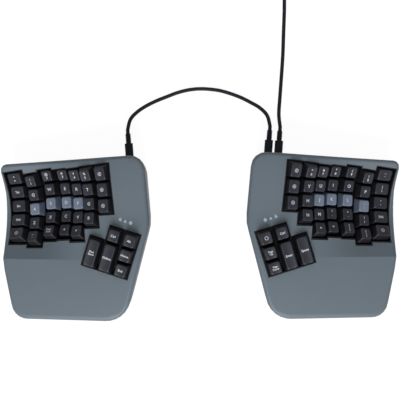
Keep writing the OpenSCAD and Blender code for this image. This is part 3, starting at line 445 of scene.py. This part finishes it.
def word_shape(text, size, line_gap=1.0):
    """(plan points, faces) of a text round its own middle, drawn once for each size."""
    key = (text, size, line_gap)
    if key not in words:
        data = bpy.data.curves.new("word", "FONT")
        data.body = text
        data.size = size
        data.align_x = "CENTER"
        data.space_line = line_gap
        data.offset = BOLDNESS * size
        holder = bpy.data.objects.new("word", data)
        scene.collection.objects.link(holder)
        bpy.context.view_layer.update()
        mesh = bpy.data.meshes.new_from_object(holder.evaluated_get(bpy.context.evaluated_depsgraph_get()))
        points = [Vector(v.co[:2]) for v in mesh.vertices]
        faces = [tuple(p.vertices) for p in mesh.polygons]
        middle = Vector([(max(p[i] for p in points) + min(p[i] for p in points)) / 2 for i in (0, 1)])
        words[key] = ([p - middle for p in points], faces)
        bpy.data.objects.remove(holder)
        bpy.data.curves.remove(data)
        bpy.data.meshes.remove(mesh)
    return words[key]


def ring_shape(outer, inner):
    turns = [math.tau * k / RING_STEPS for k in range(RING_STEPS)]
    points = [Vector((r * math.cos(a), r * math.sin(a))) for r in (outer, inner) for a in turns]
    after = [(k + 1) % RING_STEPS for k in range(RING_STEPS)]
    faces = [(k, after[k], RING_STEPS + after[k], RING_STEPS + k) for k in range(RING_STEPS)]
    return points, faces


def flat_shape(corners, degrees=0):
    """(plan points, faces) of one flat face, turned round its own middle."""
    spin = Matrix.Rotation(math.radians(degrees), 2)
    return [spin @ Vector(p) for p in corners], [tuple(range(len(corners)))]


def bar_shape(length, stroke, degrees=0):
    x, y = length / 2, stroke / 2
    return flat_shape(((-x, -y), (x, -y), (x, y), (-x, y)), degrees)


RING = ring_shape(ICON_R, ICON_HOLE_R)
ICONS = {
    "ring": [RING],
    "ring upright": [RING, bar_shape(ICON_BAR, ICON_STROKE, 90)],
    "ring dot": [RING, ring_shape(DOT_R, DOT_HOLE_R)],
    "ring slash": [RING, bar_shape(ICON_SLASH, ICON_STROKE, -45)],
    "ring level": [RING, bar_shape(ICON_BAR, ICON_STROKE)],
    "left arrow": [flat_shape(ARROW, 180)],
    "right arrow": [flat_shape(ARROW)],
    "up arrow": [flat_shape(ARROW, 90)],
    "down arrow": [flat_shape(ARROW, -90)],
}


def legend_shapes(legend):
    """Shapes of a legend: an icon by its name, a letter, a pair of signs or a word of one or two lines."""
    if legend in ICONS:
        return ICONS[legend]
    if len(legend) == 1:
        return [word_shape(legend, LETTER)]
    if "\n" in legend and len(legend) == 3:
        return [word_shape(legend, SIGN, SIGN_LINE)]
    if "\n" in legend:
        return [word_shape(legend, SMALL_WORD, WORD_LINE)]
    return [word_shape(legend, WORD)]


FINGER_LEGENDS = {
    "left": (("+\n=", "!\n1", "@\n2", "#\n3", "$\n4", "%\n5", "ring upright"),
             ("Tab", "Q", "W", "E", "R", "T", "ring dot"),
             ("Esc", "A", "S", "D", "F", "G", "ring slash"),
             ("Shift", "Z", "X", "C", "V", "B"),
             ("ring level", "~\n`", "Caps\nLock", "left arrow", "right arrow")),
    "right": (("_\n-", ")\n0", "(\n9", "*\n8", "&\n7", "^\n6", "ring upright"),
              ("|\n\\", "P", "O", "I", "U", "Y", "ring dot"),
              ("\"\n'", ":\n;", "L", "K", "J", "H", "ring slash"),
              ("Shift", "?\n/", ">\n.", "<\n,", "M", "N"),
              ("ring level", "}\n]", "{\n[", "down arrow", "up arrow")),
}
THUMB_LEGENDS = {
    "left": ("Back\nSpace", "Delete", "Ctrl", "Alt", "Home", "End"),
    "right": ("Space", "Enter", "Ctrl", "ring", "Page\nUp", "Page\nDown"),
}
# Columns and row of the keys that share a body
FINGER_ROWS = {
    "number_row_keys": (range(6), BACK_ROW),
    "upper_row_keys": (range(6), 1),
    "home_keys": (range(1, 5), HOME_ROW),
    "home_end_keys": ((OUTER_COL, 5), HOME_ROW),
    "lower_row_keys": (range(6), 3),
    "bottom_row_keys": (range(5), 4),
}
INNER_ROWS = 3


# Places of the finishes on the mesh of a cap; the skirt's finish is a darker copy of the cap's, painted
# shade on the cap sides
TOP_FINISH = 0
INK_FINISH = 1
SKIRT_PAINTED_SHADE = 2
SHARP_ANGLE = 38


def caps_piece(side, name, keys):
    """One object for the caps of a body: keys holds each cap's place, size and legend."""
    node = side + "_" + name
    flip = FLIP[side]
    top = CAP_LIFT + CAP_HEIGHT + INK
    points, faces, finish = [], [], []
    for place, (w, d), legend in keys:
        to_part = HALF[side] @ place
        cap_points, cap_faces, skirt_faces = cap_shape(w, d)
        start = len(points)
        points += [to_part @ p * MM for p in cap_points]
        faces += [tuple(start + i for i in face[::flip]) for face in cap_faces]
        # The skirt faces take the darker copy of the cap finish, painted shade
        finish += [SKIRT_PAINTED_SHADE] * skirt_faces + [TOP_FINISH] * (len(cap_faces) - skirt_faces)
        for plan, ink_faces in legend_shapes(legend):
            start = len(points)
            points += [to_part @ Vector((flip * p.x, p.y, top + dish(p.x, w))) * MM for p in plan]
            faces += [tuple(start + i for i in face) for face in ink_faces]
            finish += [INK_FINISH] * len(ink_faces)
    mesh = bpy.data.meshes.new(node)
    mesh.from_pydata(points, [], faces)
    for material in (FINISH[SLOT[node]], LEGEND, PAINTED_SHADE_SKIRT[SLOT[node]]):
        mesh.materials.append(material)
    mesh.polygons.foreach_set("material_index", finish)
    mesh.shade_smooth()
    mesh.set_sharp_from_angle(angle=math.radians(SHARP_ANGLE))
    return new_piece(node.replace("_key", "_cap"), mesh, node, node)


def finger_keys(side, columns, r):
    """Places, sizes and legends of a row's keys in the given columns."""
    return [(key_place(c, r), key_size(c), FINGER_LEGENDS[side][r][c]) for c in columns]


for side in SIDES:
    for name, (columns, r) in FINGER_ROWS.items():
        caps_piece(side, name, finger_keys(side, columns, r))
    for r in range(INNER_ROWS):
        caps_piece(side, f"inner_key_{r + 1}", finger_keys(side, [INNER_COL], r))
    for i in range(len(THUMB_KEYS)):
        caps_piece(side, f"thumb_key_{i + 1}", [(thumb_place(i), thumb_size(i), THUMB_LEGENDS[side][i])])

# Shells: the solids' own meshes, shaded as the true curved surface that their facets follow
RIM = 1.7
OUTER_STRIP = 8.5
BACK_STRIP = 6
PLATEAU_W = 42
PALM_REACH = 160
FRONT_SLANT = 12
INNER_TAPER = 41
INNER_LEAN = 1
OUTER_TAPER = 3
BACK_SLANT = 3
BACK_FLARE = 1.5
PINCH = 0.8
BEND_BULGE = 4.5
INNER_BEND_Y = -40
OUTER_PINCH_Y = 14
OUTER_BEND_Y = -76
CORNER_R = (20, 32, 45, 18, 9, 80, 120)
ARC_STEPS = 9
EDGE_R = 5
OUTER_HEIGHT = 43
SKIRT_COVER = 1
INNER_BACK_RISE = 5
RISE_Y = (-40, 40)
RISE_X = (0, 70)
PLATEAU_FALL = 4
PLATEAU_SETBACK = 10
SCOOP_DEPTH = 18
SCOOP_MID = -8
SCOOP_FULL = -45
SCOOP_FADE = 20
SCOOP_BACK = 62
PALM_FALL = 6
PALM_BOW = 0.4
CREASE_REACH = 70.5
CREASE_SLOPE = 0.08

# How the shells' shading finds the facets of the roof and of the outer walls
SLOPE_REACH = 0.02
PROBE_SHARE = 0.12
ROOF_TOLERANCE = 0.3
ROOF_LEAST_UP = 0.05
WALL_LIKENESS = 0.9
WALL_DEPTH = 8


def rim_spot(c, r, across, along):
    """A spot on the skirt line of a key, moved out from its middle to its edge and a rim beyond."""
    w, d = key_size(c)
    return key_place(c, r) @ Vector((across * (w / 2 + RIM), along * (d / 2 + RIM), CAP_LIFT))


outer_x = rim_spot(OUTER_COL, HOME_ROW, -1, 0).x - OUTER_STRIP
well_inner_x = rim_spot(INNER_COL, INNER_MID_ROW, 1, 0).x
inner_x = well_inner_x + PLATEAU_W
back_y = rim_spot(MIDDLE_COL, BACK_ROW, 0, 1).y + BACK_STRIP
skirt_inner = key_place(INNER_COL, INNER_MID_ROW) @ Vector((CAP_1U / 2, 0, CAP_LIFT))
edge_slope = (skirt_inner.z + SKIRT_COVER - OUTER_HEIGHT) / (well_inner_x - outer_x)
CORNERS = [Vector(p) for p in (
    (outer_x + OUTER_TAPER, -PALM_REACH + FRONT_SLANT), (inner_x - INNER_TAPER, -PALM_REACH),
    (inner_x, INNER_BEND_Y), (inner_x - INNER_LEAN, back_y - BACK_SLANT), (outer_x - BACK_FLARE, back_y),
    (outer_x + PINCH, OUTER_PINCH_Y), (outer_x - BEND_BULGE, OUTER_BEND_Y))]


def arc_corner(before, corner, after, r):
    """Points of the arc of radius r that rounds a corner of the outline."""
    a, b = (before - corner).normalized(), (after - corner).normalized()
    middle = corner + (a + b).normalized() * r / math.sin(a.angle(b) / 2)
    start = math.atan2(a.x, -a.y)
    turn = (math.atan2(-b.x, b.y) - start + math.pi) % math.tau - math.pi
    angles = [start + turn * k / ARC_STEPS for k in range(ARC_STEPS + 1)]
    return [middle + Vector((math.cos(t), math.sin(t))) * math.copysign(r, turn) for t in angles]


outline = [p for i, r in enumerate(CORNER_R)
           for p in arc_corner(CORNERS[i - 1], CORNERS[i], CORNERS[(i + 1) % len(CORNERS)], r)]


def edge_gap(x, y):
    """Distance of plan points from the outline."""
    spots = np.stack([x, y], axis=-1)
    nearest = np.full(len(spots), np.inf)
    for a, b in zip(outline, outline[1:] + outline[:1]):
        a, e = np.array(a), np.array(b - a)
        t = np.clip((spots - a) @ e / (e @ e), 0, 1)
        nearest = np.minimum(nearest, np.linalg.norm(spots - a - t[:, None] * e, axis=1))
    return nearest


def roof_z(x, y):
    """Height of the upper shell's surface, with its rounded edge."""
    crease = -CREASE_REACH - CREASE_SLOPE * (x - outer_x)
    a, b = CORNERS[0], CORNERS[1]
    front = a.y + (b.y - a.y) * (x - a.x) / (b.x - a.x)
    rise = INNER_BACK_RISE * ramp(y, *RISE_Y) * ramp(x, *RISE_X)
    fall = PLATEAU_FALL * ramp(x, well_inner_x + PLATEAU_SETBACK, inner_x + PLATEAU_SETBACK)
    upper = OUTER_HEIGHT + edge_slope * (x - outer_x) + rise - fall
    share = np.where(y > SCOOP_MID, (y - SCOOP_MID) / SCOOP_BACK, (SCOOP_MID - y) / (SCOOP_MID - crease))
    scoop = SCOOP_DEPTH * (1 - ramp(x, SCOOP_FULL, SCOOP_FADE)) * np.cos(math.pi / 2 * np.minimum(1, share))
    t = np.maximum(0, (crease - y) / (crease - front))
    palm = PALM_FALL * t * (1 - PALM_BOW + PALM_BOW * t)
    drop = np.maximum(0, EDGE_R - edge_gap(x, y))
    return upper - scoop - palm - (EDGE_R - np.sqrt(EDGE_R ** 2 - drop ** 2))


def slopes(height, x, y):
    """Slopes of a height along x and along y."""
    reach = SLOPE_REACH
    return ((height(x + reach, y) - height(x - reach, y)) / (2 * reach),
            (height(x, y + reach) - height(x, y - reach)) / (2 * reach))


def unit_rows(rows):
    return rows / np.linalg.norm(rows, axis=1, keepdims=True)


def shaded_shell(side, name):
    """A copy of a shell whose roof and outer walls have the normals of the curved surface."""
    node = side + "_" + name
    mesh = frame["nodes"][node].data.copy()
    loops, faces = len(mesh.loops), len(mesh.polygons)
    spots = np.empty(len(mesh.vertices) * 3)
    mesh.vertices.foreach_get("co", spots)
    corner_of = np.empty(loops, dtype=np.int32)
    mesh.loops.foreach_get("vertex_index", corner_of)
    flat = np.empty(faces * 3)
    mesh.polygons.foreach_get("normal", flat)
    to_half = np.array(HALF[side].inverted())
    turn, move = to_half[:3, :3], to_half[:3, 3]
    corners = (spots.reshape(-1, 3)[corner_of] / MM) @ turn.T + move
    normals = np.repeat(flat.reshape(-1, 3) @ turn.T, 3, axis=0)
    middles = np.repeat(corners.reshape(-1, 3, 3).mean(axis=1), 3, axis=0)
    probe = corners + PROBE_SHARE * (middles - corners)
    x, y = probe[:, 0], probe[:, 1]
    off_roof = np.abs(corners[:, 2] - roof_z(corners[:, 0], corners[:, 1]))
    near_roof = np.repeat((off_roof < ROOF_TOLERANCE).reshape(-1, 3).all(axis=1), 3)
    on_roof = near_roof & (normals[:, 2] > ROOF_LEAST_UP)
    gx, gy = slopes(roof_z, x, y)
    roof_normals = unit_rows(np.stack([-gx, -gy, np.ones(loops)], axis=1))
    gx, gy = slopes(edge_gap, x, y)
    wall_normals = unit_rows(np.stack([-gx, -gy, normals[:, 2]], axis=1))
    like_wall = (wall_normals * normals).sum(axis=1) > WALL_LIKENESS
    on_wall = ~on_roof & like_wall & (edge_gap(x, y) < WALL_DEPTH)
    normals[on_roof] = roof_normals[on_roof]
    normals[on_wall] = wall_normals[on_wall]
    mesh.shade_smooth()
    mesh.normals_split_custom_set((normals @ turn).tolist())
    return new_piece(side + "_" + name.replace("case", "shell"), mesh, "frame", node)


for side in SIDES:
    shaded_shell(side, "top_case")
    shaded_shell(side, "bottom_case")

# Lamps: a printed icon round each light pipe, made of shapes that each have a shift from the pipe's middle
LAMP_SPOTS = ((66, -31.8), (72.2, -34.4), (78.7, -37))
LAMP_TURN = -21.5
LAMP_ICONS = (
    ((ring_shape(1.3, 0.7), (0, 1.3)), (bar_shape(3.4, 2.4), (0, -0.8))),
    ((flat_shape(((0, 2.2), (-1.9, -1.6), (1.9, -1.6))), (0, 0)),),
    ((ring_shape(2.1, 0.9), (0, 0)), (bar_shape(1.4, 1.4, 45), (0, 1.9))),
)


def lamp_piece():
    """The light pipes and their icons, laid on the roof, as one object."""
    pipes = frame["nodes"]["light_pipes"].data
    points = [v.co.copy() for v in pipes.vertices]
    faces = [tuple(p.vertices) for p in pipes.polygons]
    spin = Matrix.Rotation(math.radians(LAMP_TURN), 2)
    for side in SIDES:
        for spot, icon in zip(LAMP_SPOTS, LAMP_ICONS):
            for (plan, icon_faces), shift in icon:
                start = len(points)
                for p in plan:
                    q = Vector(spot) + spin @ (p + Vector(shift))
                    z = float(roof_z(np.array([q.x]), np.array([q.y]))[0]) + INK
                    points.append(HALF[side] @ Vector((q.x, q.y, z)) * MM)
                faces += [tuple(start + i for i in face[::FLIP[side]]) for face in icon_faces]
    mesh = bpy.data.meshes.new("lamp_icons")
    mesh.from_pydata(points, [], faces)
    mesh.materials.append(FINISH["lamp_white"])
    return new_piece("lamp_icons", mesh, "frame", "light_pipes")


lamp_piece()

# Stage: a white floor and a soft studio light, in metres and watts
FLOOR_SIZE = 6
FLOOR_GREY = 0.15
FLOOR_GLOW = 0.92
WORLD_GLOW = 0.3
WHITE = (1, 1, 1, 1)
SQUARE = ((-1, -1), (1, -1), (1, 1), (-1, 1))
floor_mesh = bpy.data.meshes.new("floor")
floor_mesh.from_pydata([(x * FLOOR_SIZE, y * FLOOR_SIZE, 0) for x, y in SQUARE], [], [(0, 1, 2, 3)])
floor = bpy.data.objects.new("floor", floor_mesh)
scene.collection.objects.link(floor)
floor_paint = bpy.data.materials.new("floor_white")
floor_paint.use_nodes = True
floor_tree = floor_paint.node_tree
floor_shader = floor_tree.nodes["Principled BSDF"]
floor_shader.inputs["Base Color"].default_value = (FLOOR_GREY, FLOOR_GREY, FLOOR_GREY, 1)
floor_shader.inputs["Roughness"].default_value = 1
floor_shader.inputs["Emission Color"].default_value = WHITE


def floor_math(operation, socket):
    """A clamped sum or product, whose first input is the socket, in the floor's material."""
    step = floor_tree.nodes.new("ShaderNodeMath")
    step.operation = operation
    step.use_clamp = True
    floor_tree.links.new(socket, step.inputs[0])
    return step


# The floor glows white for the view and for reflections alone, so it doesn't light the object
rays = floor_tree.nodes.new("ShaderNodeLightPath")
seen = rays.outputs["Is Camera Ray"]
for kind in ("Is Glossy Ray", "Is Transmission Ray"):
    total = floor_math("ADD", seen)
    floor_tree.links.new(rays.outputs[kind], total.inputs[1])
    seen = total.outputs["Value"]
glow = floor_math("MULTIPLY", seen)
glow.inputs[1].default_value = FLOOR_GLOW
floor_tree.links.new(glow.outputs["Value"], floor_shader.inputs["Emission Strength"])
floor_mesh.materials.append(floor_paint)

world = bpy.data.worlds.new("studio")
scene.world = world
world.use_nodes = True
sky = world.node_tree.nodes["Background"]
sky.inputs["Color"].default_value = WHITE
sky.inputs["Strength"].default_value = WORLD_GLOW


def soft_light(name, spot, size, power):
    """A round lamp that faces the middle of the part."""
    data = bpy.data.lights.new(name, "AREA")
    data.shape = "DISK"
    data.size = size
    data.energy = power
    lamp = bpy.data.objects.new(name, data)
    lamp.location = spot
    lamp.rotation_euler = (-Vector(spot)).to_track_quat("-Z", "Y").to_euler()
    scene.collection.objects.link(lamp)


soft_light("key_light", spot=(-0.1, -1.6, 1.25), size=1.4, power=46)
soft_light("fill_light", spot=(0.2, 1.3, 1.6), size=1.2, power=6)

scene.view_settings.view_transform = "Standard"
